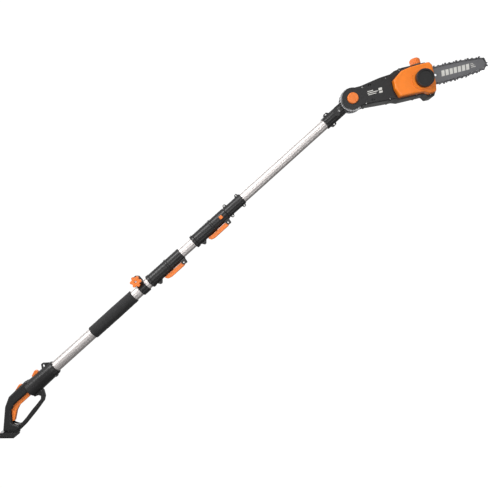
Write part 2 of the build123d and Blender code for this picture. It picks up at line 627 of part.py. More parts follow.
def gear_face(teeth, bore, phase):
    """Spur gear outline: straight-flanked teeth with running backlash."""
    pitch_r = GEAR_MODULE * teeth / 2
    root_r, tip_r = pitch_r - 1.3 * GEAR_MODULE, pitch_r + 0.9 * GEAR_MODULE
    step = 360.0 / teeth
    points = []
    for tooth in range(teeth):
        middle = phase + tooth * step
        for radius, share in ((root_r, -0.36), (pitch_r, -0.215), (tip_r, -0.10),
                              (tip_r, 0.10), (pitch_r, 0.215), (root_r, 0.36)):
            angle = math.radians(middle + share * step)
            points.append((radius * math.cos(angle), radius * math.sin(angle)))
    with BuildSketch() as sketch:
        with BuildLine():
            Polyline(*points, close=True)
        make_face()
        if bore:
            Circle(bore, mode=Mode.SUBTRACT)
    return sketch.sketch


with BuildPart() as motor_pinion:
    with BuildSketch(HEAD.offset(10.0)) as pinion_profile:
        with Locations((MOTOR_U, DRIVE_V)):
            add(gear_face(PINION_TEETH, 2.5, 180.0 / PINION_TEETH))
    extrude(pinion_profile.sketch, amount=10.0)
finish(motor_pinion, "motor_pinion")

with BuildPart() as drive_gear:
    with BuildSketch(HEAD.offset(11.0)) as gear_profile:
        with Locations((DRIVE_U, DRIVE_V)):
            add(gear_face(GEAR_TEETH, SHAFT_R, 0.0))
    extrude(gear_profile.sketch, amount=7.6)
    with BuildSketch(HEAD.offset(10.0)) as gear_holes:
        with Locations((DRIVE_U, DRIVE_V)):
            with PolarLocations(23.0, 6):
                Circle(6.0)
    extrude(gear_holes.sketch, amount=10.0, mode=Mode.SUBTRACT)
finish(drive_gear, "drive_gear")

with BuildPart() as drive_shaft:
    disc(HEAD, -4.0, 38.0, SHAFT_R, (DRIVE_U, DRIVE_V))
finish(drive_shaft, "drive_shaft")

with BuildPart() as drive_bearings:
    for low in (2.0, 19.5):
        disc(HEAD, low, low + 5.4, 11.0, (DRIVE_U, DRIVE_V))
        disc(HEAD, low - 1, low + 6.0, SHAFT_R + RUN_GAP, (DRIVE_U, DRIVE_V), Mode.SUBTRACT)
finish(drive_bearings, "drive_bearings")

with BuildPart() as gear_plate:
    slab(HEAD, 5.0, 8.0, outline(
        [(114, -24), (150, -34), (212, -36), (220, -20), (220, 46), (162, 48), (114, 34)], 4.0))
    disc(HEAD, 1.0, 8.0, 14.0, (DRIVE_U, DRIVE_V))
    disc(HEAD, 0.0, 9.0, 11.0, (DRIVE_U, DRIVE_V), Mode.SUBTRACT)
    disc(HEAD, 0.0, 9.0, 8.0, (MOTOR_U, DRIVE_V), Mode.SUBTRACT)
    for place in HOUSING_SCREWS + BULGE_SCREWS:
        disc(HEAD, 0.0, 9.0, 6.6, place, Mode.SUBTRACT)
finish(gear_plate, "gear_plate")

with BuildPart() as motor_can:
    disc(HEAD, -40.0, 5.0, MOTOR_R, (MOTOR_U, DRIVE_V))
    disc(HEAD, -38.5, 3.5, MOTOR_R - 1.5, (MOTOR_U, DRIVE_V), Mode.SUBTRACT)
    disc(HEAD, -41.0, 6.0, 2.5 + RUN_GAP, (MOTOR_U, DRIVE_V), Mode.SUBTRACT)
finish(motor_can, "motor_can")

with BuildPart() as motor_magnets:
    disc(HEAD, -32.0, -3.0, MOTOR_R - 1.5, (MOTOR_U, DRIVE_V))
    disc(HEAD, -33.0, -2.0, MOTOR_R - 4.5, (MOTOR_U, DRIVE_V), Mode.SUBTRACT)
    slab(HEAD, -33.0, -2.0, outline([(MOTOR_U - 30, DRIVE_V - 3), (MOTOR_U + 30, DRIVE_V - 3),
                                     (MOTOR_U + 30, DRIVE_V + 3), (MOTOR_U - 30, DRIVE_V + 3)], 0.5),
         Mode.SUBTRACT)
finish(motor_magnets, "motor_magnets")

with BuildPart() as motor_rotor:
    disc(HEAD, -39.5, 20.0, 2.5, (MOTOR_U, DRIVE_V))
    disc(HEAD, -31.0, -4.0, MOTOR_R - 5.5, (MOTOR_U, DRIVE_V))
    disc(HEAD, -37.0, -33.0, 6.0, (MOTOR_U, DRIVE_V))
finish(motor_rotor, "motor_rotor")

with BuildPart() as drive_sprocket:
    with BuildSketch(HEAD.offset(BAR_PLANE - 4.0)) as hub_profile:
        with Locations((DRIVE_U, DRIVE_V)):
            Circle(8.0)
    extrude(hub_profile.sketch, amount=8.0)
    with BuildSketch(HEAD.offset(BAR_PLANE - 2.5)) as tooth_profile:
        with Locations((DRIVE_U, DRIVE_V)):
            with PolarLocations(8.4, 6):
                RegularPolygon(2.2, 3)
    extrude(tooth_profile.sketch, amount=5.0)
    disc(HEAD, BAR_PLANE - 5, BAR_PLANE + 5, SHAFT_R, (DRIVE_U, DRIVE_V), Mode.SUBTRACT)
finish(drive_sprocket, "drive_sprocket")

with BuildPart() as control_board:
    slab(HEAD, -4.0, -2.4, outline([(56, -20), (106, -22), (106, 26), (56, 24)], 2.0))
    for chip_u, chip_v, chip_h in ((66, -6, 9.0), (80, 10, 12.0), (95, -8, 7.0), (94, 14, 6.0)):
        slab(HEAD, -2.4, -2.4 + chip_h, outline(
            [(chip_u - 4, chip_v - 4), (chip_u + 4, chip_v - 4), (chip_u + 4, chip_v + 4),
             (chip_u - 4, chip_v + 4)], 1.5))
finish(control_board, "control_board")

# ================= oil system =================

with BuildPart() as oil_tank:
    slab(HEAD, -28.0, 14.0, outline(TANK_OUTLINE, 2.5))
    disc(OIL_PLANE, 40.0, 62.0, 14.0)
    slab(HEAD, -26.2, 12.2, outline([(229.8, 17.8), (264.2, 17.8), (264.2, 47), (258, 51.2),
                                     (229.8, 51.2)], 1.0), Mode.SUBTRACT)
    disc(OIL_PLANE, 39.0, 63.0, 11.0, mode=Mode.SUBTRACT)
    disc(HEAD, -35, 30, 6.6, BULGE_SCREWS[3], Mode.SUBTRACT)
finish(oil_tank, "oil_tank")

with BuildPart() as oil_cap:
    with BuildSketch(OIL_PLANE.offset(62.3)) as ribbed:
        Circle(16.6)
        with PolarLocations(16.4, 20):
            Circle(1.2)
    extrude(ribbed.sketch, amount=16.0)
    disc(OIL_PLANE, 78.3, 81.0, 15.2)
    disc(OIL_PLANE, 81.0, 83.5, 12.0)
    disc(OIL_PLANE, 55.0, 62.3, 10.0)
finish(oil_cap, "oil_cap")

with BuildPart() as oil_pump:
    slab(HEAD, -12.0, 4.8, outline([(224, -34), (242, -34), (242, -16), (224, -16)], 2.0))
    disc(HEAD, -16.0, -12.0, 4.0, (233, -25))
finish(oil_pump, "oil_pump")

with BuildPart() as bar_stud:
    disc(HEAD, 16.0, 62.0, STUD_R, (STUD_U, STUD_V))
    disc(HEAD, 18.0, MOUNT_FACE - WALL, 7.5, (STUD_U, STUD_V))
finish(bar_stud, "bar_stud")

# ================= sprocket cover and tension knob =================

COVER_OUTLINE = [
    (141, 22), (139.5, -8), (150, -37), (232, -40.5), (246, -50), (269, -50), (275, -22),
    (277, 38), (269, 51), (206, 50), (174, 45),
]
COVER_CAVITY = [
    (146, 20), (144.5, -8), (153, -34), (232, -37), (262, -37), (290, -37), (290, 44),
    (268, 46), (207, 46), (176, 41),
]
COVER_TOP = 50.0

with BuildPart() as sprocket_cover:
    slab(HEAD, MOUNT_FACE + 0.2, COVER_TOP, outline(COVER_OUTLINE, 7.0))
    fillet(sprocket_cover.faces().sort_by(Axis.Y)[0].outer_wire().edges(), 6.0)
    slab(HEAD, MOUNT_FACE, COVER_TOP - 3.0, outline(COVER_CAVITY, 3.0), Mode.SUBTRACT)
    disc(HEAD, BAR_PLANE + BAR_THICK / 2 + 0.3, COVER_TOP + 2.6, 12.0, (STUD_U, STUD_V))
    disc(HEAD, COVER_TOP, COVER_TOP + 2.6, TENSION_KNOB_R + 4.0, (STUD_U - 6, STUD_V))
    disc(HEAD, 28, 60, STUD_R + 0.3, (STUD_U, STUD_V), Mode.SUBTRACT)
finish(sprocket_cover, "sprocket_cover")

with BuildPart() as tension_knob:
    disc(HEAD, COVER_TOP + 3.0, COVER_TOP + 18.0, TENSION_KNOB_R, (STUD_U, STUD_V))
    fillet(tension_knob.edges().filter_by(GeomType.CIRCLE).sort_by(Axis.Y)[0], 2.5)
    with BuildSketch(HEAD.offset(COVER_TOP + 2)) as grip_notches:
        with Locations((STUD_U, STUD_V)):
            with PolarLocations(TENSION_KNOB_R + 0.6, 30):
                Circle(1.3)
    extrude(grip_notches.sketch, amount=17.0, mode=Mode.SUBTRACT)
    disc(HEAD, COVER_TOP + 14.5, COVER_TOP + 19.0, TENSION_KNOB_R - 6.5, (STUD_U, STUD_V), Mode.SUBTRACT)
    disc(HEAD, COVER_TOP, 62.5, STUD_R + RUN_GAP, (STUD_U, STUD_V), Mode.SUBTRACT)
finish(tension_knob, "tension_knob")

# ================= guide bar =================
# The chain's pitch line is four tangent arcs: sprocket, upper bow, nose, lower bow.


def loop_arcs(span):
    """Angles swept by the bow arcs, the sprocket arc and the nose arc for one centre distance."""
    to_sprocket, to_nose = BOW_R - SPROCKET_PITCH_R, BOW_R - NOSE_PITCH_R
    cos_mid = (to_sprocket**2 + to_nose**2 - span**2) / (2 * to_sprocket * to_nose)
    cos_sprocket = (to_sprocket**2 + span**2 - to_nose**2) / (2 * to_sprocket * span)
    bow = math.acos(cos_mid)
    at_sprocket = math.acos(cos_sprocket)
    at_nose = math.pi - bow - at_sprocket
    return bow, at_sprocket, at_nose


def loop_length(span):
    """Length of the whole pitch line."""
    bow, at_sprocket, at_nose = loop_arcs(span)
    return 2 * (BOW_R * bow + SPROCKET_PITCH_R * at_sprocket + NOSE_PITCH_R * at_nose)


CHAIN_LENGTH = 2 * DRIVE_LINKS * RIVET_PITCH
low_span, high_span = 200.0, 320.0
for _ in range(50):
    middle_span = (low_span + high_span) / 2
    if loop_length(middle_span) < CHAIN_LENGTH:
        low_span = middle_span
    else:
        high_span = middle_span
SPAN = (low_span + high_span) / 2
BOW, AT_SPROCKET, AT_NOSE = loop_arcs(SPAN)
NOSE_U = DRIVE_U + SPAN
BOW_DEPTH = (BOW_R - SPROCKET_PITCH_R) * math.sin(AT_SPROCKET)
BOW_U = DRIVE_U + (BOW_R - SPROCKET_PITCH_R) * math.cos(AT_SPROCKET)


def loop_point(along):
    """Point and outward direction of the pitch line, from the sprocket's far side, clockwise."""
    along %= CHAIN_LENGTH
    upper = along <= CHAIN_LENGTH / 2
    if not upper:
        along = CHAIN_LENGTH - along
    arc_1 = SPROCKET_PITCH_R * AT_SPROCKET
    arc_2 = arc_1 + BOW_R * BOW
    if along < arc_1:
        angle = math.pi - along / SPROCKET_PITCH_R
        centre_u, centre_v, radius = DRIVE_U, 0.0, SPROCKET_PITCH_R
    elif along < arc_2:
        angle = math.pi - AT_SPROCKET - (along - arc_1) / BOW_R
        centre_u, centre_v, radius = BOW_U, -BOW_DEPTH, BOW_R
    else:
        angle = AT_NOSE - (along - arc_2) / NOSE_PITCH_R
        centre_u, centre_v, radius = NOSE_U, 0.0, NOSE_PITCH_R
    side = 1.0 if upper else -1.0
    u = centre_u + radius * math.cos(angle)
    v = side * (centre_v + radius * math.sin(angle))
    return u, v + DRIVE_V, math.degrees(math.atan2(side * math.sin(angle), math.cos(angle)))


def loop_face(inset):
    """Face inside the pitch line, set in from it, as tangent arcs."""
    arcs = []
    nose_r, bow_r, tail_r = NOSE_PITCH_R - inset, BOW_R - inset, SPROCKET_PITCH_R - inset
    for side in (1, -1):
        start = (DRIVE_U + tail_r * math.cos(math.pi - AT_SPROCKET),
                 side * tail_r * math.sin(math.pi - AT_SPROCKET))
        middle_angle = math.pi - AT_SPROCKET - BOW / 2
        middle = (BOW_U + bow_r * math.cos(middle_angle),
                  side * (bow_r * math.sin(middle_angle) - BOW_DEPTH))
        end = (NOSE_U + nose_r * math.cos(AT_NOSE), side * nose_r * math.sin(AT_NOSE))
        arcs.append((start, middle, end))
    with BuildSketch() as sketch:
        with BuildLine():
            ThreePointArc(*arcs[0])
            ThreePointArc(arcs[0][2], (NOSE_U + nose_r, 0), arcs[1][2])
            ThreePointArc(*reversed(arcs[1]))
            ThreePointArc(arcs[1][0], (DRIVE_U - tail_r, 0), arcs[0][0])
        make_face()
    return sketch.sketch


BAR_TAIL_U = 206.0
BAR_HOLE_U = 284.0
BAR = Plane(origin=HEAD.from_local_coords((0, DRIVE_V, BAR_PLANE)), x_dir=HEAD.x_dir, z_dir=HEAD.z_dir)

with BuildPart() as guide_bar:
    slab(BAR, -BAR_THICK / 2, BAR_THICK / 2, loop_face(RAIL_DROP))
    slab(BAR, -3, 3, outline([(100, -60), (BAR_TAIL_U, -60), (BAR_TAIL_U, 60), (100, 60)], 1.0),
         Mode.SUBTRACT)
    with BuildSketch(BAR.offset(-0.8)) as groove:
        add(loop_face(RAIL_DROP - 2))
        add(loop_face(RAIL_DROP + 6), mode=Mode.SUBTRACT)
        with Locations((NOSE_U, 0)):
            Circle(12.6)
            Circle(3.0, mode=Mode.SUBTRACT)
    extrude(groove.sketch, amount=1.6, mode=Mode.SUBTRACT)
    with BuildSketch(BAR.offset(-3)) as bar_holes:
        with Locations((STUD_U, STUD_V - DRIVE_V)):
            SlotCenterToCenter(16, 2 * STUD_R + 0.8)
        with Locations((BAR_HOLE_U, 2.0)):
            Circle(4.2)
        with Locations((226, 13), (226, -13)):
            Circle(2.2)
    extrude(bar_holes.sketch, amount=6, mode=Mode.SUBTRACT)
    for face in (BAR_THICK / 2 - 0.2, -BAR_THICK / 2 - 0.4):
        with BuildSketch(BAR.offset(face)) as rivet_heads:
            with Locations((NOSE_U, 0)):
                Circle(2.2)
                with PolarLocations(8.0, 3, start_angle=120, angular_range=120, endpoint=True):
                    Circle(1.3)
        extrude(rivet_heads.sketch, amount=0.6)
finish(guide_bar, "guide_bar")

with BuildPart() as nose_sprocket:
    with BuildSketch(BAR.offset(-0.65)) as nose_teeth:
        with Locations((NOSE_U, 0)):
            Circle(9.0)
            with PolarLocations(9.0, 9):
                RegularPolygon(2.4, 3)
            Circle(3.0 + RUN_GAP, mode=Mode.SUBTRACT)
    extrude(nose_teeth.sketch, amount=1.3)
finish(nose_sprocket, "nose_sprocket")

# ================= saw chain =================

DRIVE_LINK_HALF = 0.65
PLATE_IN, PLATE_OUT = 0.70, 1.95
LINK_R, RIVET_R = 2.6, 1.9
RIVETS = [loop_point(index * RIVET_PITCH) for index in range(2 * DRIVE_LINKS)]


def link_frame(index):
    """Plane centred between two neighbouring rivets, x along the chain and y outward."""
    u_1, v_1, _ = RIVETS[index]
    u_2, v_2, _ = RIVETS[(index + 1) % len(RIVETS)]
    length = math.hypot(u_2 - u_1, v_2 - v_1)
    along = ((u_2 - u_1) / length, (v_2 - v_1) / length)
    origin = HEAD.from_local_coords(((u_1 + u_2) / 2, (v_1 + v_2) / 2, BAR_PLANE))
    x_dir = HEAD.x_dir * along[0] + HEAD.y_dir * along[1]
    return Plane(origin=origin, x_dir=x_dir, z_dir=HEAD.z_dir), length / 2


def plate(index, low, high, points, holes=True):
    """One chain plate: an obround through its two rivets, joined with an outline."""
    frame, half = link_frame(index)
    with BuildSketch(frame.offset(low)) as sketch:
        SlotCenterToCenter(2 * half, 2 * LINK_R)
        if points:
            with BuildLine():
                Polyline(*points, close=True)
            make_face()
        if holes:
            with Locations((-half, 0), (half, 0)):
                Circle(RIVET_R + RUN_GAP, mode=Mode.SUBTRACT)
    extrude(sketch.sketch, amount=high - low)


with BuildPart() as chain_drive_links:
    for index in range(0, 2 * DRIVE_LINKS, 2):
        plate(index, -DRIVE_LINK_HALF, DRIVE_LINK_HALF,
              [(-5.0, -1.5), (-2.2, -6.4), (1.6, -6.4), (5.0, -1.5)])
finish(chain_drive_links, "chain_drive_links")

CUTTER_LINKS = [index for index in range(1, 2 * DRIVE_LINKS, 4)]
TIE_LINKS = [index for index in range(3, 2 * DRIVE_LINKS, 4)]
CUTTER_SHAPE = [
    (-6.2, 1.5), (-5.6, 5.6), (-2.6, 5.6), (-1.4, 2.4), (1.2, 2.4), (2.2, 6.6), (8.2, 6.0),
    (7.2, 1.0), (4.0, 1.0),
]

STRAP_HUMP = [(-4.4, 1.5), (-3.2, 4.9), (1.2, 5.3), (4.4, 1.5)]

with BuildPart() as chain_tie_straps:
    for index in TIE_LINKS:
        plate(index, PLATE_IN, PLATE_OUT, STRAP_HUMP)
        plate(index, -PLATE_OUT, -PLATE_IN, STRAP_HUMP)
    for order, index in enumerate(CUTTER_LINKS):
        if order % 2:
            plate(index, PLATE_IN, PLATE_OUT, [])
        else:
            plate(index, -PLATE_OUT, -PLATE_IN, [])
finish(chain_tie_straps, "chain_tie_straps")

with BuildPart() as chain_cutters:
    for order, index in enumerate(CUTTER_LINKS):
        if order % 2:
            plate(index, -PLATE_OUT, -PLATE_IN, CUTTER_SHAPE)
            top_low, top_high = -PLATE_OUT, 2.6
        else:
            plate(index, PLATE_IN, PLATE_OUT, CUTTER_SHAPE)
            top_low, top_high = -2.6, PLATE_OUT
        frame, half = link_frame(index)
        with BuildSketch(frame.offset(top_low)) as top_plate:
            with BuildLine():
                Polyline((2.6, 5.4), (7.9, 4.9), (8.2, 6.0), (2.3, 6.6), close=True)
            make_face()
        extrude(top_plate.sketch, amount=top_high - top_low)
finish(chain_cutters, "chain_cutters")

with BuildPart() as chain_rivets:
    for u, v, _ in RIVETS:
        disc(HEAD, BAR_PLANE - 2.2, BAR_PLANE + 2.2, RIVET_R, (u, v))
finish(chain_rivets, "chain_rivets")
print("chain span", round(SPAN, 2), "nose u", round(NOSE_U, 2))
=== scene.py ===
import json
import math

import bmesh
import bpy
from mathutils import Matrix, Vector


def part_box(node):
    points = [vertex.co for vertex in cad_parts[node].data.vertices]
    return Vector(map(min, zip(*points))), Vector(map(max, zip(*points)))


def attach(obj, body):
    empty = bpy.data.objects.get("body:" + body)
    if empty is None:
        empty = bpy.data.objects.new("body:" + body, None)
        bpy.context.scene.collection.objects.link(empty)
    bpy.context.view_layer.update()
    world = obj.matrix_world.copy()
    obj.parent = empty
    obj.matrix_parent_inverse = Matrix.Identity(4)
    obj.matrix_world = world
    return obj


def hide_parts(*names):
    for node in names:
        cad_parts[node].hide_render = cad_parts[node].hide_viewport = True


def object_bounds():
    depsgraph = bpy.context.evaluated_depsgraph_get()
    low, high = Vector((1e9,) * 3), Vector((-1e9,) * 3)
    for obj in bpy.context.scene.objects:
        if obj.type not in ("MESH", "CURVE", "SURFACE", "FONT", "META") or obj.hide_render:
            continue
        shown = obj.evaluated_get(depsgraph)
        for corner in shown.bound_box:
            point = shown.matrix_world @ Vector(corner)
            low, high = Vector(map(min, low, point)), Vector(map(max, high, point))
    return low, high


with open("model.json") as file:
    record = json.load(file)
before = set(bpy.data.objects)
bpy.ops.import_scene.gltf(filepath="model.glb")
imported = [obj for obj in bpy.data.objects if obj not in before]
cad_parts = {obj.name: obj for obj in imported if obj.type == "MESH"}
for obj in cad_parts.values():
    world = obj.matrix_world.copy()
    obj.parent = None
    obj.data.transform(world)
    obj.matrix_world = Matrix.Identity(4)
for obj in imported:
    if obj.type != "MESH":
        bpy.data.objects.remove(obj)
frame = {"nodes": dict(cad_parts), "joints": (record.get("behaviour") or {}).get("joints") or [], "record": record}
cad_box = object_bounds()

MM = 0.001
NODES = frame["nodes"]
SLOT_OF = {row["node"]: row["material_slot"] for row in frame["record"]["subparts"]}
JOINT = {joint["name"]: joint for joint in frame["joints"]}
PIVOT = Vector(JOINT["head_tilt"]["pos_m"])
BAR_AXIS = Vector(JOINT["bar_tension"]["axis"])
HEAD_UP = Vector(JOINT["oil_cap_turn"]["axis"])
DROOP = math.atan2(-BAR_AXIS.z, BAR_AXIS.x)


def head_point(u, v, height):
    """Place in the saw head: u along the bar, v up, height towards the cover's side, in mm."""
    return PIVOT + BAR_AXIS * (u * MM) + HEAD_UP * (v * MM) + Vector((0, -height * MM, 0))


# ---------------------------------------------------------------- materials


BEVEL_SAMPLES = 4


class Nodes:
    """Short calls for building one material's node tree."""

    def __init__(self, name):
        self.material = bpy.data.materials.new(name)
        self.material.use_nodes = True
        self.tree = self.material.node_tree
        self.shader = self.tree.nodes["Principled BSDF"]

    def add(self, kind, **values):
        node = self.tree.nodes.new(kind)
        for key, value in values.items():
            setattr(node, key, value)
        return node

    def link(self, source, output, target, socket):
        self.tree.links.new(source.outputs[output], target.inputs[socket])

    def coordinates(self, scale=(1, 1, 1), turn=0.0):
        """Object coordinates, turned about Y and stretched."""
        place = self.add("ShaderNodeTexCoord")
        turned = self.add("ShaderNodeMapping")
        turned.inputs["Rotation"].default_value = (0, turn, 0)
        self.link(place, "Object", turned, "Vector")
        stretched = self.add("ShaderNodeMapping")
        stretched.inputs["Scale"].default_value = scale
        self.link(turned, "Vector", stretched, "Vector")
        return stretched

    def noise(self, vector, scale, detail=3.0, rough=0.55):
        node = self.add("ShaderNodeTexNoise")
        node.inputs["Scale"].default_value = scale
        node.inputs["Detail"].default_value = detail
        node.inputs["Roughness"].default_value = rough
        self.link(vector, "Vector", node, "Vector")
        return node

    def ramp(self, source, output, low, high, from_low=0.35, from_high=0.65):
        """Map a factor to a span of values."""
        node = self.add("ShaderNodeMapRange")
        node.inputs["From Min"].default_value = from_low
        node.inputs["From Max"].default_value = from_high
        node.inputs["To Min"].default_value = low
        node.inputs["To Max"].default_value = high
        self.link(source, output, node, "Value")
        return node

    def tint(self, factor, output, low, high):
        """Mix two colours by a factor."""
        node = self.add("ShaderNodeMix", data_type="RGBA")
        node.inputs["A"].default_value = (*low, 1.0)
        node.inputs["B"].default_value = (*high, 1.0)
        self.tree.links.new(factor.outputs[output], node.inputs["Factor"])
        return node

    def bump(self, height, output, depth, strength=1.0, edge=0.0):
        """Bump of a real depth in metres, over edges rounded by a real radius."""
        node = self.add("ShaderNodeBump")
        node.inputs["Distance"].default_value = depth
        node.inputs["Strength"].default_value = strength
        self.link(height, output, node, "Height")
        if edge:
            bevel = self.add("ShaderNodeBevel", samples=BEVEL_SAMPLES)
            bevel.inputs["Radius"].default_value = edge
            self.link(bevel, "Normal", node, "Normal")
        self.link(node, "Normal", self.shader, "Normal")

    def edges(self, radius):
        """Mask of the strip beside a piece's real edges, from how far a rounded normal leans."""
        rounded = self.add("ShaderNodeBevel", samples=BEVEL_SAMPLES)
        rounded.inputs["Radius"].default_value = radius
        plain = self.add("ShaderNodeNewGeometry")
        agree = self.add("ShaderNodeVectorMath", operation="DOT_PRODUCT")
        self.link(rounded, "Normal", agree, 0)
        self.link(plain, "Normal", agree, 1)
        return self.ramp(agree, "Value", 1.0, 0.0, 0.80, 0.97)


def moulded(name, colour, rough, grain=1500.0, depth=0.000014, edge=0.0007, wear=0.05, coat=0.0):
    """Injection-moulded plastic: spark-eroded grain, soft edges, edges rubbed lighter."""
    n = Nodes(name)
    place = n.coordinates()
    fine = n.noise(place, grain, 2.0)
    broad = n.noise(place, 22.0, 4.0)
    edge_mask = n.edges(0.0012)
    patchy = n.add("ShaderNodeMath", operation="MULTIPLY")
    n.link(edge_mask, "Result", patchy, 0)
    n.link(broad, "Fac", patchy, 1)
    lighter = tuple(min(1.0, channel + wear) for channel in colour)
    shaded = n.tint(patchy, "Value", colour, lighter)
    darker = tuple(channel * 0.86 for channel in colour)
    mottle = n.ramp(broad, "Fac", 0.0, 1.0)
    body = n.add("ShaderNodeMix", data_type="RGBA")
    n.link(mottle, "Result", body, "Factor")
    body.inputs["A"].default_value = (*darker, 1.0)
    n.tree.links.new(shaded.outputs["Result"], body.inputs["B"])
    n.tree.links.new(body.outputs["Result"], n.shader.inputs["Base Color"])
    gloss = n.ramp(broad, "Fac", rough - 0.05, rough + 0.06)
    n.link(gloss, "Result", n.shader, "Roughness")
    n.shader.inputs["IOR"].default_value = 1.5
    n.shader.inputs["Coat Weight"].default_value = coat
    n.shader.inputs["Coat Roughness"].default_value = 0.18
    n.bump(fine, "Fac", depth, 0.6, edge)
    return n.material


def drawn_metal(name, colour, rough, along=0.0, stretch=(12, 900, 900), spread=0.12, edge=0.0004,
                metallic=1.0, depth=0.000008):
    """Metal with fine lines left by drawing, grinding or rolling."""
    n = Nodes(name)
    lines = n.noise(n.coordinates(stretch, along), 1.0, 4.0, 0.7)
    smudge = n.noise(n.coordinates(), 14.0, 5.0)
    darker = tuple(channel * 0.95 for channel in colour)
    shade = n.tint(n.ramp(lines, "Fac", 0.0, 1.0), "Result", darker, colour)
    n.tree.links.new(shade.outputs["Result"], n.shader.inputs["Base Color"])
    n.link(n.ramp(smudge, "Fac", rough - spread / 2, rough + spread), "Result", n.shader, "Roughness")
    n.shader.inputs["Metallic"].default_value = metallic
    n.bump(lines, "Fac", depth, 0.5, edge)
    return n.material


def oiled_steel(name, colour, rough, metallic=0.9):
    """Chain and gear steel with a patchy film of oil."""
    n = Nodes(name)
    place = n.coordinates()
    film = n.noise(place, 160.0, 5.0, 0.65)
    speck = n.noise(place, 2200.0, 2.0)
    dark = tuple(channel * 0.55 for channel in colour)
    shade = n.tint(n.ramp(film, "Fac", 0.0, 1.0, 0.4, 0.6), "Result", dark, colour)
    n.tree.links.new(shade.outputs["Result"], n.shader.inputs["Base Color"])
    n.link(n.ramp(film, "Fac", rough - 0.12, rough + 0.12), "Result", n.shader, "Roughness")
    n.shader.inputs["Metallic"].default_value = metallic
    n.bump(speck, "Fac", 0.00003, 0.5, 0.0003)
    return n.material


def closed_cell_foam(name, colour):
    """Skinned foam: open pores on a matt black skin."""
    n = Nodes(name)
    place = n.coordinates()
    pores = n.add("ShaderNodeTexVoronoi", feature="F1")
    pores.inputs["Scale"].default_value = 620.0
    n.link(place, "Vector", pores, "Vector")
    broad = n.noise(place, 60.0, 5.0)
    height = n.add("ShaderNodeMath", operation="ADD")
    n.link(n.ramp(pores, "Distance", 0.0, 1.0, 0.05, 0.55), "Result", height, 0)
    n.link(broad, "Fac", height, 1)
    dusty = tuple(channel * 1.5 for channel in colour)
    shade = n.tint(n.ramp(broad, "Fac", 0.0, 1.0, 0.4, 0.7), "Result", colour, dusty)
    n.tree.links.new(shade.outputs["Result"], n.shader.inputs["Base Color"])
    n.shader.inputs["Roughness"].default_value = 0.82
    n.shader.inputs["Sheen Weight"].default_value = 0.12
    n.shader.inputs["Sheen Roughness"].default_value = 0.5
    n.bump(height, "Value", 0.00022, 0.8)
    return n.material


BLACK = (0.012, 0.0115, 0.012)
LEVER_ORANGE = (0.93, 0.225, 0.030)
COVER_ORANGE = (1.0, 0.235, 0.006)
MATERIALS = {
    "black_plastic": moulded("black_plastic", BLACK, 0.36, wear=0.02),
    "orange_plastic": moulded("orange_plastic", LEVER_ORANGE, 0.38, depth=0.000008),
    "cover_orange": moulded("cover_orange", COVER_ORANGE, 0.32, depth=0.000006, coat=0.25),
    "aluminium_tube": drawn_metal("aluminium_tube", (0.74, 0.70, 0.685), 0.42, 0.0, (6, 700, 700),
                                  0.06, 0.0, depth=0.0000003),
    "detent_aluminium": drawn_metal("detent_aluminium", (0.55, 0.55, 0.56), 0.34, DROOP,
                                    (500, 500, 500)),
    "foam": closed_cell_foam("foam", (0.014, 0.014, 0.0145)),
    "bar_steel": drawn_metal("bar_steel", (0.21, 0.21, 0.22), 0.42, DROOP, (25, 900, 900),
                             metallic=0.75),
    "chain_steel": oiled_steel("chain_steel", (0.20, 0.20, 0.21), 0.36),
    "zinc_steel": drawn_metal("zinc_steel", (0.55, 0.55, 0.54), 0.35, 0.0, (700, 700, 700)),
    "gear_steel": oiled_steel("gear_steel", (0.36, 0.36, 0.37), 0.32),
    "cast_plate": oiled_steel("cast_plate", (0.52, 0.52, 0.53), 0.50),
    "brass_contact": drawn_metal("brass_contact", (0.78, 0.55, 0.22), 0.25, 0.0, (60, 900, 900)),
    "tank_plastic": moulded("tank_plastic", (0.74, 0.73, 0.68), 0.34, 900.0, 0.00002, wear=0.0),
    "board": moulded("board", (0.02, 0.14, 0.05), 0.35, 700.0, 0.00003, wear=0.0),
    "nylon": moulded("nylon", (0.72, 0.71, 0.67), 0.42, 1100.0, 0.00003, wear=0.0),
    "magnet": oiled_steel("magnet", (0.07, 0.07, 0.075), 0.6, 0.3),
}


def dress(piece, slot):
    """Give a piece one slot's material."""
    piece.data.materials.clear()
    piece.data.materials.append(MATERIALS[slot])


SMOOTH_ANGLE = math.radians(32)


def smooth_by_angle(piece):
    """Smooth shading with sharp creases, set on the piece's faces and edges only."""
    mesh = piece.data
    mesh.polygons.foreach_set("use_smooth", [True] * len(mesh.polygons))
    mesh.set_sharp_from_angle(angle=SMOOTH_ANGLE)


for name, node in NODES.items():
    if node.data.materials:
        for index in range(len(node.data.materials)):
            node.data.materials[index] = MATERIALS[SLOT_OF[name]]
    else:
        node.data.materials.append(MATERIALS[SLOT_OF[name]])


# ---------------------------------------------------------------- pieces made here


def new_piece(name, mesh_data, body, slot):
    """Link a finished bmesh as a piece that rides on a body."""
    mesh = bpy.data.meshes.new(name)
    mesh_data.to_mesh(mesh)
    mesh_data.free()
    piece = bpy.data.objects.new(name, mesh)
    bpy.context.scene.collection.objects.link(piece)
    dress(piece, slot)
    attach(piece, body)
    return piece


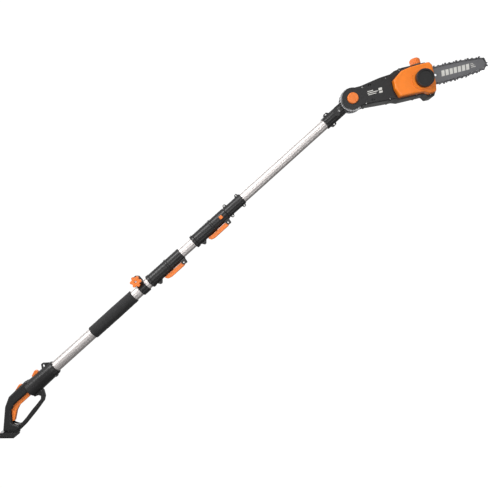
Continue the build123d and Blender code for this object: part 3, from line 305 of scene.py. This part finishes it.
def lathe(name, profile, body, slot, segments=96, ripple=None):
    """Closed ring turned about the pole's axis from (x, radius) pairs."""
    shape = bmesh.new()
    rings = []
    for step in range(segments):
        angle = 2 * math.pi * step / segments
        ring = []
        for x, radius in profile:
            grown = radius + (ripple(x, angle) if ripple else 0.0)
            ring.append(shape.verts.new((x, grown * math.cos(angle), grown * math.sin(angle))))
        rings.append(ring)
    count = len(profile)
    for step in range(segments):
        first, second = rings[step], rings[(step + 1) % segments]
        for index in range(count):
            following = (index + 1) % count
            shape.faces.new((first[index], first[following], second[following], second[index]))
    bmesh.ops.recalc_face_normals(shape, faces=shape.faces)
    piece = new_piece(name, shape, body, slot)
    smooth_by_angle(piece)
    return piece


FOAM_BORE_GAP = 0.0002
FOAM_SKIN = 0.0004
FOAM_ROLL = 0.0022
FOAM_RINGS = 60
ROLL_STEPS = 5
FOAM_SEGMENTS = 120
FOAM_SWELL = 0.0003
SOFT_DENT, FINE_DENT = 0.00022, 0.00012


def foam_sleeve():
    """Foam grip: rolled ends, slight swell between them and a few soft hand dents."""
    low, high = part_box("foam_grip")
    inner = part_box("lower_tube")[1][2] + FOAM_BORE_GAP
    outer = high[2] - FOAM_SKIN
    length = high[0] - low[0]
    profile = [(low[0], inner), (low[0], outer - FOAM_ROLL)]
    for turn in range(1, ROLL_STEPS + 1):
        angle = math.radians(90 / ROLL_STEPS * turn)
        profile.append((low[0] + FOAM_ROLL * (1 - math.cos(angle)),
                        outer - FOAM_ROLL + FOAM_ROLL * math.sin(angle)))
    for step in range(1, FOAM_RINGS):
        profile.append((low[0] + FOAM_ROLL + (length - 2 * FOAM_ROLL) * step / FOAM_RINGS, outer))
    for turn in range(ROLL_STEPS, -1, -1):
        angle = math.radians(90 / ROLL_STEPS * turn)
        profile.append((high[0] - FOAM_ROLL * (1 - math.cos(angle)),
                        outer - FOAM_ROLL + FOAM_ROLL * math.sin(angle)))
    profile.append((high[0], inner))

    def dents(x, angle):
        swell = FOAM_SWELL * math.sin(math.pi * (x - low[0]) / length)
        soft = SOFT_DENT * math.sin(95 * x + 1.3) * math.sin(2 * angle + 40 * x)
        fine = FINE_DENT * math.sin(310 * x + 3 * angle)
        inside = 0.0 if x in (low[0], high[0]) else 1.0
        return inside * (swell + soft + fine)

    piece = lathe("foam_grip_sleeve", profile, "handle", "foam", FOAM_SEGMENTS, dents)
    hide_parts("foam_grip")


INK_GAP, INK_TOP = 0.02, 0.08


def slanted_mark(shape, u, v, width, height, slant, face):
    """One printed parallelogram standing a hair proud of a face of the head, in mm."""
    corners = ((u, v), (u + width, v), (u + width + slant, v + height), (u + slant, v + height))
    bottom = [shape.verts.new(head_point(cu, cv, face + INK_GAP)) for cu, cv in corners]
    top = [shape.verts.new(head_point(cu, cv, face + INK_TOP)) for cu, cv in corners]
    shape.faces.new(bottom)
    shape.faces.new(tuple(reversed(top)))
    for index in range(4):
        following = (index + 1) % 4
        shape.faces.new((bottom[index], top[index], top[following], bottom[following]))


# Heights of the printed faces above the head's middle plane, in mm.
BAR_FACE = 33.8
NECK_FACE = 32.0
BAR_BLOCKS, BAR_BLOCK_START, BAR_BLOCK_PITCH = 7, 303, 14.0
LABEL_START, LABEL_TOP, LABEL_PITCH = 52, 7.5, 5.6
LABEL_DASHES = (20, 34, 28)
LABEL_BADGE_U = 89


def bar_print():
    """Plain slanted blocks where a bar carries its printing."""
    shape = bmesh.new()
    for block in range(BAR_BLOCKS):
        slanted_mark(shape, BAR_BLOCK_START + block * BAR_BLOCK_PITCH, -4.5, 10.5, 19.0, 3.0, BAR_FACE)
    for line in range(3):
        slanted_mark(shape, 404.5, -0.5 + line * 5.5, 15.0 - 3 * line, 2.2, 0.6, BAR_FACE)
    bmesh.ops.recalc_face_normals(shape, faces=shape.faces)
    new_piece("bar_print", shape, "guide_bar", "nylon")


def neck_print():
    """Plain grey dashes where the housing carries its rating label."""
    shape = bmesh.new()
    for row, width in enumerate(LABEL_DASHES):
        slanted_mark(shape, LABEL_START, LABEL_TOP - row * LABEL_PITCH, width, 2.6, 0.0, NECK_FACE)
    slanted_mark(shape, LABEL_BADGE_U, 3.0, 12.0, 8.4, 1.5, NECK_FACE)
    slanted_mark(shape, LABEL_BADGE_U, -5.5, 12.0, 6.0, 1.5, NECK_FACE)
    bmesh.ops.recalc_face_normals(shape, faces=shape.faces)
    new_piece("neck_print", shape, "head", "nylon")


foam_sleeve()
bar_print()
neck_print()

# ---------------------------------------------------------------- stage, light and camera

FLOOR_DROP = 0.62
FLOOR_REACH = 14.0
TENT_BELOW, TENT_ABOVE = 0.22, 0.66
BACKDROP_STRENGTH = 1.05
floor_z = cad_box[0][2] - FLOOR_DROP
floor_mesh = bpy.data.meshes.new("floor")
floor_corners = [(x * FLOOR_REACH, y * FLOOR_REACH, floor_z) for x, y in ((-1, -1), (1, -1), (1, 1), (-1, 1))]
floor_mesh.from_pydata(floor_corners, [], [(0, 1, 2, 3)])
floor = bpy.data.objects.new("floor", floor_mesh)
bpy.context.scene.collection.objects.link(floor)
pale = Nodes("pale_floor")
pale_noise = pale.noise(pale.coordinates(), 3.0, 2.0)
pale_shade = pale.tint(pale_noise, "Fac", (0.90, 0.90, 0.90), (0.93, 0.93, 0.93))
pale.tree.links.new(pale_shade.outputs["Result"], pale.shader.inputs["Base Color"])
pale.shader.inputs["Roughness"].default_value = 0.9
pale.shader.inputs["Emission Color"].default_value = (1.0, 1.0, 1.0, 1.0)
pale.shader.inputs["Emission Strength"].default_value = 0.75
floor_mesh.materials.append(pale.material)
floor.visible_glossy = False
floor.visible_diffuse = False


def softbox(name, place, target, size, power):
    """Large area lamp aimed at a point."""
    lamp = bpy.data.lights.new(name, "AREA")
    lamp.shape = "RECTANGLE"
    lamp.size, lamp.size_y = size
    lamp.energy = power
    piece = bpy.data.objects.new(name, lamp)
    bpy.context.scene.collection.objects.link(piece)
    piece.location = place
    aim = Vector(target) - Vector(place)
    piece.rotation_euler = aim.to_track_quat("-Z", "Y").to_euler()


MIDDLE = (0.75, 0.0, -0.05)
softbox("key", (0.5, -1.5, 2.0), MIDDLE, (2.8, 0.7), 52)
softbox("front_fill", (0.9, -2.8, -0.3), MIDDLE, (2.6, 0.8), 20)
softbox("back_fill", (0.7, 2.2, 1.3), MIDDLE, (2.6, 0.8), 26)
softbox("under_fill", (0.8, -0.9, -1.9), MIDDLE, (2.4, 0.5), 6)

world = bpy.data.worlds.new("studio")
bpy.context.scene.world = world
world.use_nodes = True
world_nodes = world.node_tree
# Seen directly the studio is white; as light it is a tent that is bright above and dim below.
tent = world_nodes.nodes["Background"]
tent.inputs["Color"].default_value = (1.0, 1.0, 1.0, 1.0)
toward = world_nodes.nodes.new("ShaderNodeTexCoord")
height = world_nodes.nodes.new("ShaderNodeSeparateXYZ")
world_nodes.links.new(toward.outputs["Generated"], height.inputs["Vector"])
falloff = world_nodes.nodes.new("ShaderNodeMapRange")
falloff.inputs["From Min"].default_value = -0.9
falloff.inputs["From Max"].default_value = 0.9
falloff.inputs["To Min"].default_value = TENT_BELOW
falloff.inputs["To Max"].default_value = TENT_ABOVE
world_nodes.links.new(height.outputs["Z"], falloff.inputs["Value"])
world_nodes.links.new(falloff.outputs["Result"], tent.inputs["Strength"])
backdrop = world_nodes.nodes.new("ShaderNodeBackground")
backdrop.inputs["Color"].default_value = (1.0, 1.0, 1.0, 1.0)
backdrop.inputs["Strength"].default_value = BACKDROP_STRENGTH
seen = world_nodes.nodes.new("ShaderNodeLightPath")
chosen = world_nodes.nodes.new("ShaderNodeMixShader")
world_nodes.links.new(seen.outputs["Is Camera Ray"], chosen.inputs["Fac"])
world_nodes.links.new(tent.outputs["Background"], chosen.inputs[1])
world_nodes.links.new(backdrop.outputs["Background"], chosen.inputs[2])
world_nodes.links.new(chosen.outputs["Shader"], world_nodes.nodes["World Output"].inputs["Surface"])

bpy.context.scene.view_settings.view_transform = "Standard"

CAMERA_AXIS = (0.7467, -0.1178)
CAMERA_DISTANCE = 1.926
CAMERA_ROLL = math.radians(42.0)
CAMERA_LENS = 42.15
camera_data = bpy.data.cameras.new("camera")
camera_data.lens = CAMERA_LENS
camera_data.sensor_width = 36.0
camera_data.clip_end = 60.0
camera = bpy.data.objects.new("camera", camera_data)
bpy.context.scene.collection.objects.link(camera)
right = Vector((math.cos(CAMERA_ROLL), 0, -math.sin(CAMERA_ROLL)))
up = Vector((math.sin(CAMERA_ROLL), 0, math.cos(CAMERA_ROLL)))
back = Vector((0, -1, 0))
turn = Matrix((right, up, back)).transposed()
camera_place = Matrix.Translation((CAMERA_AXIS[0], -CAMERA_DISTANCE, CAMERA_AXIS[1]))
camera.matrix_world = camera_place @ turn.to_4x4()
bpy.context.scene.camera = camera
